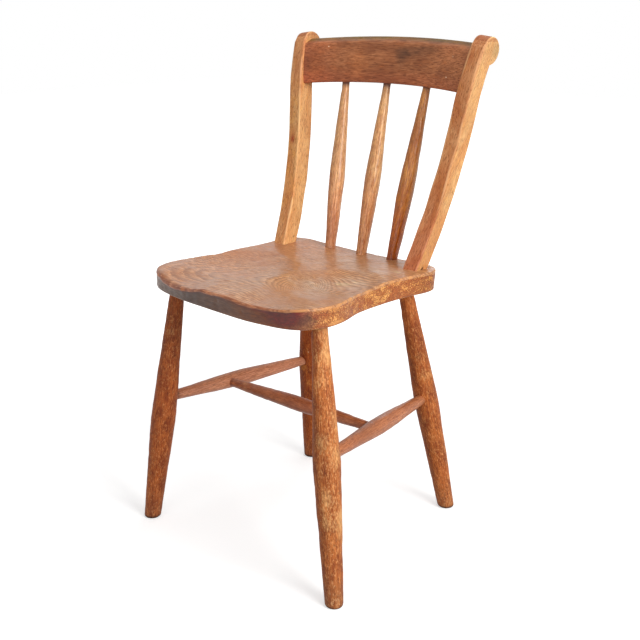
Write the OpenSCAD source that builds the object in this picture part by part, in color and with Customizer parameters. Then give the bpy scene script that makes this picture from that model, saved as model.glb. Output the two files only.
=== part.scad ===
// Worn stick-back kitchen chair in varnished hardwood: a dished plank seat on splayed turned legs,
// with an H-shaped stretcher, two curved sawn back posts, three turned spindles and a bowed crest rail.
// The seat's front edge faces -Y, and the origin is on the floor under the middle of the chair.

/* [Overall] */
// Height of the seat's rim above the floor
seat_h = 450; // [360:1:545]
// Rise of the post heads above the seat's rim
back_h = 355; // [295:1:430]

/* [Seat] */
// Greatest width of the seat
seat_w = 362; // [345:1:435]
// Depth of the seat, front to rear
seat_d = 358; // [340:1:430]
// How far the seat plank is turned out of square on the chair, in degrees
seat_skew = -3; // [-4:0.5:4]
// How much fuller the left waist is than the right, as a fraction of half the width
left_fill = 0.07; // [0:0.01:0.08]
// Thickness of the seat plank at its rim
seat_t = 28.6; // [26:0.2:34]
// Depth of the shallow dish that runs out over the rear edge
dish_depth = 6; // [2:0.5:7]
// Depth of the two scoops in front of the dish
scoop_depth = 9.5; // [4:0.5:10]
// Depth of the thigh troughs at the front edge
trough_depth = 6; // [2:0.5:8]

/* [Legs] */
// Half the distance between the leg centres at the seat, front pair
front_leg_x = 150; // [135:1:155]
// Half the distance between the leg centres at the seat, back pair
back_leg_x = 103.5; // [95:0.5:106]
// Distance of the front leg centres behind the seat's front edge
front_leg_y = 64; // [45:1:75]
// Distance of the back leg centres behind the seat's front edge
back_leg_y = 327; // [300:1:330]
// Outward slope of the front legs, run over rise
front_splay = 0.135; // [0:0.005:0.2]
// Outward slope of the back legs, run over rise
back_splay = 0.132; // [0:0.004:0.2]
// Forward slope of the front legs, run over rise
front_rake = 0.077; // [0:0.001:0.15]
// Backward slope of the back legs, run over rise
back_rake = 0.1645; // [0:0.0005:0.2]
// Leg diameter at the floor
leg_foot_dia = 28; // [22:0.5:32]
// Leg diameter at its swell
leg_swell_dia = 40.6; // [36:0.2:48]
// Leg diameter at the seat, and of its tenon
leg_top_dia = 22.4; // [18:0.4:24]

/* [Stretchers] */
// Height of the side stretchers on the front legs
side_front_h = 224; // [180:1:260]
// Height of the left side stretcher on its back leg
left_back_h = 219; // [180:1:260]
// Height of the right side stretcher on its back leg
right_back_h = 211; // [180:1:260]
// Side stretcher diameter at its ends
side_end_dia = 17; // [13:0.5:19]
// Side stretcher diameter at its middle
side_mid_dia = 28; // [24:0.5:32]
// Cross stretcher diameter at its ends
cross_end_dia = 15; // [11:0.5:16]
// Cross stretcher diameter at its middle
cross_mid_dia = 24; // [16:0.5:28]
// Distance of the cross stretcher's left end behind the seat's front edge
cross_left_y = 174; // [150:1:210]
// Distance of the cross stretcher's right end behind the seat's front edge
cross_right_y = 187; // [150:1:210]

/* [Back] */
// Half the clear distance between the posts at the seat
post_x = 127.6; // [120:0.2:130]
// Distance of the posts' front faces behind the seat's front edge, at the seat
post_y = 289; // [270:1:292]
// Post thickness, side to side
post_w = 26; // [22:0.5:30]
// Post depth, front to rear
post_d = 33; // [28:0.5:36]
// Outward lean of the posts, in degrees
post_splay = 7; // [0:0.5:9]
// Backward lean of the posts at the seat, in degrees
post_lean = 27; // [18:0.5:30]
// Backward lean of the posts at their straightest place, in degrees
post_waist_lean = 9.3; // [4:0.1:12]
// Radius of the rolled post heads
head_r = 21.4; // [18:0.2:24]
// Height of the crest rail
rail_h = 75.5; // [60:0.5:85]
// Thickness of the crest rail
rail_t = 20; // [17:0.5:24]
// How far the middle of the crest rail bows back
rail_bow = 21; // [10:1:30]
// How far the middle of the crest rail arches up
rail_arch = 6.3; // [3:0.1:10]
// Drop from the top of the post heads to the rail's top edge at its middle
rail_drop = 5.5; // [2:0.5:15]
// How far the rail's ends are set back behind the posts' front faces
rail_setback = 7; // [3:0.5:9]

/* [Spindles] */
// Distance between neighbouring spindles at the seat
spindle_pitch = 67.3; // [52:0.1:72]
// Distance between neighbouring spindles at the rail
spindle_top_pitch = 84.2; // [70:0.1:90]
// Spindle diameter at the seat, and of its lower tenon
spindle_foot_dia = 18.4; // [14:0.2:19]
// Spindle diameter at its swell
spindle_swell_dia = 27; // [22:0.5:30]
// Spindle diameter at the rail, and of its upper tenon
spindle_top_dia = 12.6; // [9:0.2:13]
// Distance of the middle spindle behind the seat's front edge
spindle_y = 347; // [330:0.5:348]
// How much further forward the outer spindles stand
spindle_bow = 3; // [0:0.5:8]

/* [Joinery] */
// Radial clearance round each tenon
fit_gap = 0.1; // [0.05:0.01:0.2]
// Depth of the leg sockets in the seat
leg_tenon = 16; // [12:0.5:18]
// Depth of the spindle sockets, in the seat and in the rail
spindle_tenon = 16; // [12:0.5:18]
// Depth of the post sockets in the seat
post_tenon = 18; // [12:0.5:20]
// Diameter of the round tenon under each post
post_tenon_dia = 18; // [14:0.5:20]
// Length of the crest rail's tenons
rail_tenon = 13; // [8:0.5:16]
// Distance from a leg's centre line to the end of a stretcher's tenon
side_tenon_stop = 4; // [2:0.5:8]
// Distance from a side stretcher's centre line to the end of the cross stretcher's tenon
cross_tenon_stop = 3; // [2:0.5:6]

/* [Hidden] */
$fn = 64;

seat_colour = "peru";
leg_colour = "chocolate";
back_colour = "saddlebrown";
spindle_colour = "sienna";

// Extra length that a cutting solid runs past the face it cuts
overcut = 5;
// Size of the blocks that trim a solid to a plane
block = 2000;
seat_under = seat_h - seat_t;

// The right half of the seat's outline as fractions of half its width and its depth, from the front's
// middle round the large front corner, in at the waist and out again to the rear corner
HALF_OUTLINE = [[0, 0], [0.35, 0.006], [0.6, 0.022], [0.78, 0.043], [0.9, 0.077], [0.965, 0.125],
    [0.995, 0.18], [1, 0.22], [0.975, 0.29], [0.915, 0.375], [0.87, 0.46], [0.852, 0.56],
    [0.857, 0.66], [0.88, 0.76], [0.915, 0.85], [0.91, 0.9], [0.86, 0.945], [0.76, 0.97],
    [0.4, 0.995], [0, 1]];
// Where along the depth the left waist is fuller than the right
fill_from = 0.25;
fill_to = 0.85;
outline_steps = 5;

// Where the dish, the scoops and the troughs lie
dish_half_w = post_x - 2;
dish_r = (pow(dish_half_w, 2) + pow(dish_depth, 2)) / (2 * dish_depth);
dish_tilt = atan(dish_depth / (0.9 * seat_d));
scoop_r = 480;
scoop_x = 0.44 * seat_w / 2;
scoop_y = 0.42 * seat_d;
trough_r = 260;
trough_x = 0.5 * seat_w / 2;
trough_tilt = atan(trough_depth / (0.48 * seat_d));

// Swell of each turned piece, as a fraction of its length from the first end
front_left_swell_at = 0.46;
front_right_swell_at = 0.52;
back_leg_swell_at = 0.49;
spindle_swell_at = 0.42;
stretcher_swell_at = 0.5;
// Plain length of a turned piece beyond the face that it enters
leg_neck = 5;
spindle_neck = 6;
stretcher_neck = 2;
// Roundness of a swell: how much the two tapers are blended where they meet
swell_blend = 0.8;
turned_rings = 28;

// The post's side profile: a lower arc, a short straight and an upper arc that leans back again
post_len = back_h / cos(post_splay);
lower_r = 2.2 * post_len;
upper_r = 1.26 * post_len;
lower_end = lower_r * (sin(post_lean) - sin(post_waist_lean));
straight_end = lower_end + 0.048 * post_len;
lower_run = lower_r * (cos(post_waist_lean) - cos(post_lean));
straight_run = lower_run + (straight_end - lower_end) * tan(post_waist_lean);
post_rings = 24;
head_s = post_len - head_r / cos(post_splay);
head_set = 25;
head_front_angle = 130;
head_front_rise = 6;

// The rail's ring: its axis is tipped so that the bowed middle also stands higher
rail_tip = atan(rail_arch / rail_bow);
rail_top_z = seat_h + back_h - rail_drop;
rail_z = rail_top_z - rail_h;
rail_end_x = post_x + (rail_z - seat_h) * tan(post_splay);
ring_bow = rail_bow / cos(rail_tip);
ring_r = (pow(rail_end_x, 2) + pow(ring_bow, 2)) / (2 * ring_bow);
rail_end_s = (rail_z - rail_arch - seat_h) / cos(post_splay);
rail_y = post_y + post_run(rail_end_s) + rail_setback + rail_bow;
rail_lean = 9.5;
rail_roll = 8;
rail_roll_power = 3.5;
rail_ridge = 0.7 * rail_t;
rail_edge_r = 9;
rail_rings = 10;
ring_sweep = 44;
rail_tenon_t = 9;
rail_tenon_h = 44;
// The tenons lean a little more than the rail, to stay inside its curved section
rail_tenon_lean = rail_lean + 4;

// Whole depth of the chair, from the seat's front edge to the rear of the rail or of the post heads
rail_rear = rail_y + rail_front(rail_h - rail_edge_r / 2) + rail_t;
total_d = max(rail_rear, post_y + post_run(head_s) + head_set + head_r);

// How far the post's front face has moved back at a height s above the seat, along the post
function post_run(s) =
    s < lower_end ? lower_r * (cos(asin(sin(post_lean) - s / lower_r)) - cos(post_lean)) :
    s < straight_end ? lower_run + (s - lower_end) * tan(post_waist_lean) :
    straight_run + upper_r * (cos(post_waist_lean)
        - cos(asin(sin(post_waist_lean) + (s - straight_end) / upper_r)));

// A point of the rail: its place across the chair, its height above the rail's lower edge and its
// distance behind the rail's front face
function rail_point(x, up, behind) =
    let (rho = ring_r, sag = rho - sqrt(pow(rho, 2) - pow(x, 2)))
    [x, rail_y - sag * cos(rail_tip) + rail_front(up) + behind, rail_z - sag * sin(rail_tip) + up];

// How far the rail's front face has moved back at a height above its lower edge
function rail_front(up) = up * tan(rail_lean) + rail_roll * pow(up / rail_h, rail_roll_power);

// A point of a cubic curve through b and c, with a and d as the points before and after them
function curve_point(a, b, c, d, t) =
    0.5 * (2 * b + (c - a) * t + (2 * a - 5 * b + 4 * c - d) * pow(t, 2)
        + (3 * b - a - 3 * c + d) * pow(t, 3));

// The half outline with each side of it divided into curved steps; its ends mirror over x = 0
function half_curve(p) =
    let (n = len(p),
        q = concat([[-p[1][0], p[1][1]]], p, [[-p[n - 2][0], p[n - 2][1]]]))
    concat([for (i = [1:n - 1]) for (j = [0:outline_steps - 1])
        curve_point(q[i - 1], q[i], q[i + 1], q[i + 2], j / outline_steps)], [p[n - 1]]);

// Radius of a double taper at a fraction t of its length: two straight tapers with a soft meeting
function taper(t, r0, r_swell, r1, at) =
    let (peak = r_swell + swell_blend * ln(2),
        rising = r0 + (peak - r0) * t / at,
        falling = r1 + (peak - r1) * (1 - t) / (1 - at))
    -swell_blend * ln(exp(-rising / swell_blend) + exp(-falling / swell_blend));

// Leg centre lines, from the floor to the seat's underside
function front_leg_point(side, z) =
    [side * (front_leg_x + (seat_under - z) * front_splay), front_leg_y - (seat_under - z) * front_rake, z];
function back_leg_point(side, z) =
    [side * (back_leg_x + (seat_under - z) * back_splay), back_leg_y + (seat_under - z) * back_rake, z];

// Ends of the side stretchers' centre lines, on the leg centre lines
function side_front(side) = front_leg_point(side, side_front_h);
function side_back(side) = back_leg_point(side, side < 0 ? left_back_h : right_back_h);

// The point of a side stretcher's centre line at a distance y behind the seat's front edge
function side_at(side, y) =
    let (a = side_front(side), b = side_back(side))
    a + (b - a) * (y - a[1]) / (b[1] - a[1]);

// Ends of a spindle's centre line at the seat's rim height and at the rail; place is -1, 0 or 1
function spindle_foot(place) =
    [place * spindle_pitch, spindle_y - spindle_bow * abs(place), seat_h];
function spindle_head(place) =
    rail_point(place * spindle_top_pitch, 0, rail_t / 2);

// Height of the seat's surface where the spindles enter it
spindle_floor = seat_h - dish_depth;

// A solid whose own z axis runs from one point towards another
module along(from, to) {
    d = to - from;
    translate(from)
        rotate([0, acos(d[2] / norm(d)), atan2(d[1], d[0])])
            children();
}

// A turned piece: a double taper between two plain tenons, from z = 0 to z = len
module turned(len, r0, r_swell, r1, at, tenon0, tenon1) {
    rings = [for (i = [0:turned_rings]) let (t = i / turned_rings)
        [min(r_swell, max(min(r0, r1), taper(t, r0, r_swell, r1, at))), t * len]];
    // The profile starts a quarter turn from the lean, so that the joint line stays clear of the bores
    rotate([0, 0, 90])
        rotate_extrude()
            polygon(concat([[0, -tenon0], [r0, -tenon0], [r0, 0]],
                [for (i = [1:turned_rings - 1]) rings[i]],
                [[r1, len], [r1, len + tenon1], [0, len + tenon1]]));
}

// Everything is set out from the seat's front edge, then moved so that the origin is in the middle
module centred() {
    translate([0, -total_d / 2, 0])
        children();
}

// The hole for a round tenon that ends at a point and comes out along a line
module socket(end, outside, dia, depth) {
    along(end, outside)
        translate([0, 0, -fit_gap])
            cylinder(d = dia + 2 * fit_gap, h = depth + overcut);
}

// How much a point of the left side stands out beyond its mirror image
function fill(depth) =
    depth < fill_from || depth > fill_to ? 0 :
    left_fill * pow(sin(180 * (depth - fill_from) / (fill_to - fill_from)), 2);

// The whole outline, turned about its middle and set with its foremost point at y = 0
function seat_outline() =
    let (right = half_curve(HALF_OUTLINE),
        left = [for (i = [len(right) - 2:-1:1]) [-right[i][0] - fill(right[i][1]), right[i][1]]],
        sized = [for (p = concat(right, left)) [p[0] * seat_w / 2, (p[1] - 0.5) * seat_d]],
        turned = [for (p = sized) [p[0] * cos(seat_skew) - p[1] * sin(seat_skew),
            p[0] * sin(seat_skew) + p[1] * cos(seat_skew)]],
        front = min([for (p = turned) p[1]]))
    [for (p = turned) [p[0], p[1] - front]];

module seat_blank() {
    translate([0, 0, seat_under])
        linear_extrude(seat_t)
            polygon(seat_outline());
}

module seat_hollows() {
    translate([0, seat_d, seat_h - dish_depth])
        rotate([90 - dish_tilt, 0, 0])
            translate([0, dish_r, -block / 2])
                cylinder(r = dish_r, h = block, $fn = 256);
    for (side = [-1, 1]) {
        translate([side * scoop_x, scoop_y, seat_h - scoop_depth + scoop_r])
            sphere(r = scoop_r, $fn = 256);
        translate([side * trough_x, 0, seat_h - trough_depth])
            rotate([90 + trough_tilt, 0, 0])
                translate([0, trough_r, -block / 2])
                    cylinder(r = trough_r, h = block, $fn = 128);
    }
}

module leg_sockets() {
    for (side = [-1, 1]) {
        socket(leg_tip(front_leg_point(side, seat_under), front_leg_point(side, 0)),
            front_leg_point(side, 0), leg_top_dia, leg_tenon);
        socket(leg_tip(back_leg_point(side, seat_under), back_leg_point(side, 0)),
            back_leg_point(side, 0), leg_top_dia, leg_tenon);
    }
}

// The end of a tenon that runs a depth past a point, away from another
function leg_tip(at, other) = at + (at - other) / norm(at - other) * leg_tenon;

module spindle_sockets(at_seat) {
    for (place = [-1, 0, 1]) {
        foot = spindle_start(place);
        head = spindle_head(place);
        if (at_seat)
            socket(foot - spindle_dir(place) * spindle_tenon, head, spindle_foot_dia, spindle_tenon);
        else
            socket(head + spindle_dir(place) * spindle_tenon, foot, spindle_top_dia, spindle_tenon);
    }
}

// A spindle's direction, and the point where it enters the seat
function spindle_dir(place) =
    let (d = spindle_head(place) - spindle_foot(place)) d / norm(d);
function spindle_start(place) =
    let (d = spindle_dir(place)) spindle_foot(place) + d * (spindle_floor - seat_h) / d[2];

module post_peg(gap) {
    translate([post_x + post_w / 2, post_y + post_d / 2, seat_h - post_tenon - gap])
        cylinder(d = post_tenon_dia + 2 * gap, h = post_tenon + overcut);
}

module seat() {
    color(seat_colour)
        centred()
            difference() {
                seat_blank();
                seat_hollows();
                leg_sockets();
                spindle_sockets(true);
                for (side = [0, 1])
                    mirror([side, 0, 0])
                        post_peg(fit_gap);
            }
}

// A leg from a point on the floor to one on the seat's underside, with its stretcher bore
module leg(foot, top, swell_at, bore_end, bore_to) {
    len = norm(top - foot);
    color(leg_colour)
        centred()
            difference() {
                along(foot, top)
                    turned(len - leg_neck, leg_foot_dia / 2, leg_swell_dia / 2, leg_top_dia / 2,
                        swell_at, leg_foot_dia / 2, leg_neck + leg_tenon);
                translate([-block / 2, -block / 2, -block])
                    cube([block, block, block]);
                socket(bore_end, bore_to, side_end_dia, leg_swell_dia / 2);
            }
}

// The point where a stretcher's tenon stops: a distance from one end of its centre line
function stop_point(from, to, stop) = from + (to - from) / norm(to - from) * stop;

module front_leg(side) {
    leg(front_leg_point(side, 0), front_leg_point(side, seat_under),
        side < 0 ? front_left_swell_at : front_right_swell_at,
        stop_point(side_front(side), side_back(side), side_tenon_stop), side_back(side));
}

module back_leg(side) {
    leg(back_leg_point(side, 0), back_leg_point(side, seat_under), back_leg_swell_at,
        stop_point(side_back(side), side_front(side), side_tenon_stop), side_front(side));
}

// A stretcher between two centre lines whose pieces have radius r_held where it enters them
module stretcher(a, b, end_dia, mid_dia, r_held, stop) {
    neck = r_held + stretcher_neck;
    along(a, b)
        translate([0, 0, neck])
            turned(norm(b - a) - 2 * neck, end_dia / 2, mid_dia / 2, end_dia / 2,
                stretcher_swell_at, neck - stop, neck - stop);
}

module side_stretcher(side) {
    a = side_front(side);
    b = side_back(side);
    mine = side_at(side, side < 0 ? cross_left_y : cross_right_y);
    far = side_at(-side, side < 0 ? cross_right_y : cross_left_y);
    color(leg_colour)
        centred()
            difference() {
                stretcher(a, b, side_end_dia, side_mid_dia, leg_swell_dia / 2, side_tenon_stop);
                socket(stop_point(mine, far, cross_tenon_stop), far, cross_end_dia, side_mid_dia / 2);
            }
}

// The flat outline of a post, seen from the side, with its front foot at the origin
module post_profile() {
    head = [post_run(head_s) + head_set, head_s];
    front_top = head_s + head_front_rise;
    front = [for (i = [0:post_rings]) let (s = -overcut + (front_top + overcut) * i / post_rings)
        [post_run(s), s]];
    rear = [for (i = [post_rings:-1:0]) let (s = -overcut + (head_s + overcut) * i / post_rings)
        [post_run(s) + post_d, s]];
    shoulder = head + head_r * [cos(head_front_angle), sin(head_front_angle)];
    polygon(concat(front, [shoulder, head], rear));
    translate(head)
        circle(r = head_r);
}

// Everything that lies beyond the inner face of the right post, from a gap outside it
module beyond_post(gap) {
    translate([post_x + gap, 0, seat_h])
        rotate([0, post_splay, 0])
            translate([0, -block / 2, -block / 2])
                cube([block, block, block]);
}

// The rail's tenon, or with a gap the mortise for it, in the right post
module rail_peg(length, gap) {
    mid = rail_point(rail_end_x, rail_h / 2, rail_t / 2);
    translate([post_x + (mid[2] - seat_h) * tan(post_splay), mid[1], mid[2]])
        rotate([-rail_tenon_lean, post_splay, 0])
            translate([-overcut, -rail_tenon_t / 2 - gap, -rail_tenon_h / 2 - gap])
                cube([length + overcut, rail_tenon_t + 2 * gap, rail_tenon_h + 2 * gap]);
}

module back_post(side) {
    color(back_colour)
        centred()
            mirror([side < 0 ? 1 : 0, 0, 0]) {
                difference() {
                    translate([post_x, post_y, seat_h])
                        rotate([0, post_splay, 0])
                            rotate([90, 0, 90])
                                linear_extrude(post_w * cos(post_splay))
                                    post_profile();
                    translate([0, 0, seat_h - block])
                        cube([block, block, block]);
                    rail_peg(rail_tenon + fit_gap, fit_gap);
                }
                post_peg(0);
            }
}

// The rail's section at the middle: a leaning board that rolls back towards its top
module rail_section() {
    low = [for (i = [0:rail_rings]) let (up = (rail_h - rail_edge_r) * i / rail_rings)
        [rail_front(up), up]];
    top_front = [rail_front(rail_h) + rail_edge_r, rail_h - rail_edge_r / 3];
    rear = [for (i = [rail_rings:-1:0]) let (up = (rail_h - rail_edge_r / 2) * i / rail_rings)
        [rail_front(up) + rail_t, up]];
    polygon(concat(low, [top_front, [rail_front(rail_h) + rail_ridge, rail_h]], rear));
}

module crest_rail() {
    color(back_colour)
        centred() {
            difference() {
                translate([0, rail_y - ring_r * cos(rail_tip), rail_z - ring_r * sin(rail_tip)])
                    rotate([rail_tip, 0, 0])
                        rotate([0, 0, 90 - ring_sweep / 2])
                            rotate_extrude(angle = ring_sweep, $fn = 256)
                                translate([ring_r, 0])
                                    rotate(-rail_tip)
                                        rail_section();
                for (side = [0, 1])
                    mirror([side, 0, 0])
                        beyond_post(-fit_gap);
                spindle_sockets(false);
            }
            for (side = [0, 1])
                mirror([side, 0, 0])
                    rail_peg(rail_tenon, 0);
        }
}

module cross_stretcher() {
    a = side_at(-1, cross_left_y);
    b = side_at(1, cross_right_y);
    color(leg_colour)
        centred()
            stretcher(a, b, cross_end_dia, cross_mid_dia, side_mid_dia / 2, cross_tenon_stop);
}

module spindle(place) {
    foot = spindle_start(place);
    head = spindle_head(place);
    color(spindle_colour)
        centred()
            along(foot, head)
                translate([0, 0, spindle_neck])
                    turned(norm(head - foot) - 2 * spindle_neck, spindle_foot_dia / 2,
                        spindle_swell_dia / 2, spindle_top_dia / 2, spindle_swell_at,
                        spindle_neck + spindle_tenon, spindle_neck + spindle_tenon);
}

seat();
front_leg(-1);  // front_leg_left
front_leg(1);  // front_leg_right
back_leg(-1);  // back_leg_left
back_leg(1);  // back_leg_right
side_stretcher(-1);  // side_stretcher_left
side_stretcher(1);  // side_stretcher_right
cross_stretcher();
back_post(-1);  // back_post_left
back_post(1);  // back_post_right
crest_rail();
spindle(-1);  // spindle_left
spindle(0);  // spindle_middle
spindle(1);  // spindle_right
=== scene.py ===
import math
from functools import partial
import bpy
import numpy as np
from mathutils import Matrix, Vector


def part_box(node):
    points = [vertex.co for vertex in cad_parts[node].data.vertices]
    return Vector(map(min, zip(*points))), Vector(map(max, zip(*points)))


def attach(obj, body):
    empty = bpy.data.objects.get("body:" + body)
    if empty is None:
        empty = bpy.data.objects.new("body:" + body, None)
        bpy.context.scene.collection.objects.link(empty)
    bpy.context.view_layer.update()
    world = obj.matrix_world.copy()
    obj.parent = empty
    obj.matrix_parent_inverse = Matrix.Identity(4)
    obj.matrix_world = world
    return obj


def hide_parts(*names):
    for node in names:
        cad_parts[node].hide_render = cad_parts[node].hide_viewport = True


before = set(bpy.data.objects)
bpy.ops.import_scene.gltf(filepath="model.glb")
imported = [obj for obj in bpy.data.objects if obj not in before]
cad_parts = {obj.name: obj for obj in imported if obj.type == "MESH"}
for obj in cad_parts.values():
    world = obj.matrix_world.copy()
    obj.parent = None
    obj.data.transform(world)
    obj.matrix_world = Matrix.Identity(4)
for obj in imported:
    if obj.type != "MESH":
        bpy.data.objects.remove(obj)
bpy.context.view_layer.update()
print("frame loaded")

seatLow, seatHigh = (np.array(corner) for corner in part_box("seat"))
seatUnder, seatTop = seatLow[2], seatHigh[2]


# Smooth, repeatable unevenness: a sum of sine waves with seeded directions, paces and phases
def waves(points, seed, size, count=9):
    draw = np.random.default_rng(seed)
    total = np.zeros(points.shape[:-1])
    for _ in range(count):
        direction = draw.normal(size=3)
        direction /= np.linalg.norm(direction)
        pace = 2 * math.pi / (size * draw.uniform(0.7, 1.6))
        total += np.sin(points @ direction * pace + draw.uniform(0, 2 * math.pi))
    return total / math.sqrt(count)


# Unevenness of several sizes: the sum of waves, each with its amount and size, in metres
def roughness(points, seed, *parts):
    return sum(amount * waves(points, seed + index, size) for index, (amount, size) in enumerate(parts))


# Eased step, 3t^2 - 2t^3, from 0 at low to 1 at high
def ease(value, low, high):
    t = np.clip((value - low) / (high - low), 0, 1)
    return t * t * (3 - 2 * t)


# Bell, e to the minus (distance / width) squared
def bell(distance, width):
    return np.exp(-(distance / width) ** 2)


# How far each point lies from a spot
def away(points, spot):
    return np.linalg.norm(points - np.array(spot), axis=-1)


# A mark: its amount times a bell of the distance from its place, which is given by x and y alone, or
# by x, y and z
def markOn(points, place, width, amount=1.0):
    return amount * bell(away(points[..., :len(place)], place), width)


# Shallow dents: the deepest of some seeded bells at points of the surface
def dentField(points, seed, count, depth):
    draw = np.random.default_rng(seed)
    flat = points.reshape(-1, 3)
    total = np.zeros(len(flat))
    for _ in range(count):
        spot = flat[draw.integers(len(flat))]
        width, share = draw.uniform(0.0015, 0.006), draw.uniform(0.3, 1.0)
        total = np.maximum(total, depth * share * bell(away(flat, spot), width))
    return total.reshape(points.shape[:-1])


# Growth rings: distance from a pith line that bows along the grain, over the ring spacing
def ringField(grain, tree, seed):
    x, y = grain[..., 0] - tree["pith"][0], grain[..., 1] - tree["pith"][1]
    along = grain[..., 2] - tree["middle"]
    y = y + tree["bow"] * along ** 2 + tree["slope"] * along
    stretched = grain * np.array([1, 1, tree["stretch"]])
    wander = tree["wander"] * (waves(stretched, seed, 0.05) + 0.4 * waves(stretched, seed + 1, 0.018))
    return (np.hypot(x, y) + wander) / tree["spacing"]


def addObject(name, data):
    made = bpy.data.objects.new(name, data)
    bpy.context.scene.collection.objects.link(made)
    return made


# A closed skin over rings of points, with a pole in the middle of the first and last ring; a layer
# has a value for each point, or one for a whole ring or for all
def closedSkin(name, rings, layers, material):
    rows, columns = rings.shape[:2]
    row, here = np.meshgrid(np.arange(rows - 1), np.arange(columns), indexing="ij")
    first, after = row * columns + here, row * columns + (here + 1) % columns
    quads = np.stack([first, after, after + columns, first + columns], -1).reshape(-1, 4)
    around, top = np.arange(columns), (rows - 1) * columns
    following = (around + 1) % columns
    lowFan = np.stack([following, around, np.full(columns, rows * columns)], -1)
    highFan = np.stack([top + around, top + following, np.full(columns, rows * columns + 1)], -1)
    points = np.concatenate([rings.reshape(-1, 3), rings[[0, -1]].mean(1)])
    mesh = bpy.data.meshes.new(name)
    mesh.from_pydata(points.tolist(), [], quads.tolist() + lowFan.tolist() + highFan.tolist())
    mesh.polygons.foreach_set("use_smooth", [True] * len(mesh.polygons))
    for layer, values in layers.items():
        values = np.broadcast_to(values, rings.shape[:2] + values.shape[2:]).reshape(rows, columns, -1)
        whole = np.concatenate([values.reshape(rows * columns, -1), values[[0, -1]].mean(1)])
        isVector = whole.shape[1] == 3
        attribute = mesh.attributes.new(layer, "FLOAT_VECTOR" if isVector else "FLOAT", "POINT")
        attribute.data.foreach_set("vector" if isVector else "value", whole.astype(np.float32).ravel())
    mesh.materials.append(material)
    mesh.update()
    return addObject(name, mesh)


def fitPiece(piece, node):
    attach(piece, "root")
    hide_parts(node)


# Colour factors for each point: 1 plus the sum of a few amounts of red, green and blue
def tintOf(*changes):
    total = sum(np.asarray(amount)[..., None] * np.array(change) for amount, change in changes)
    return np.clip(1 + total, 0.03, 2.5)


# A display colour, 0 to 255, as the linear colour that a shader takes
def paint(shade):
    return tuple(((c / 255 + 0.055) / 1.055) ** 2.4 if c > 10 else c / 3294 for c in shade) + (1.0,)


def feed(tree, socket, value):
    if isinstance(value, bpy.types.NodeSocket):
        tree.links.new(value, socket)
    else:
        socket.default_value = value


# A shader node with its settings, and a number, colour or link for each input by name or place
def addNode(tree, kind, inputs=(), **settings):
    node = tree.nodes.new(kind)
    for name, value in settings.items():
        setattr(node, name, value)
    for socket, value in dict(inputs).items():
        feed(tree, node.inputs[socket], value)
    return node


def emptyTree(owner):
    owner.use_nodes = True
    owner.node_tree.nodes.clear()
    return owner.node_tree


def layerOf(tree, name, output="Fac"):
    return addNode(tree, "ShaderNodeAttribute", attribute_name=name).outputs[output]


# Noise on a stretched copy of a vector; a large scale means a fine pattern
def noiseOf(tree, vector, scale, detail, rough, shift=(0, 0, 0)):
    stretch = addNode(tree, "ShaderNodeMapping", {"Vector": vector, "Scale": scale, "Location": shift})
    return addNode(tree, "ShaderNodeTexNoise", {"Vector": stretch.outputs["Vector"], "Scale": 1.0,
                                                "Detail": detail, "Roughness": rough}).outputs["Fac"]


def mathOf(tree, operation, *values):
    return addNode(tree, "ShaderNodeMath", enumerate(values), operation=operation).outputs[0]


# A value moved up and down by a noise about 0.5, so that the edge of a mask made from it is broken
def brokenBy(tree, value, noise, amount):
    swing = mathOf(tree, "MULTIPLY", mathOf(tree, "SUBTRACT", noise, 0.5), amount)
    return mathOf(tree, "ADD", value, swing)


# A mask that eases from toLow to toHigh while the value goes from low to high
def maskOf(tree, value, low, high, toLow=0.0, toHigh=1.0):
    limits = {"Value": value, "From Min": low, "From Max": high, "To Min": toLow, "To Max": toHigh}
    return addNode(tree, "ShaderNodeMapRange", limits, interpolation_type="SMOOTHSTEP").outputs["Result"]


def mixOf(tree, share, first, second, mode="MIX"):
    first, second = (c if isinstance(c, bpy.types.NodeSocket) else paint(c) for c in (first, second))
    return addNode(tree, "ShaderNodeMix", {"Factor": share, 6: first, 7: second}, data_type="RGBA",
                   blend_type=mode).outputs[2]


def bumpOf(tree, height, strength, distance, **normal):
    inputs = dict(normal, Height=height, Strength=strength, Distance=distance)
    return addNode(tree, "ShaderNodeBump", inputs).outputs["Normal"]


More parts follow.
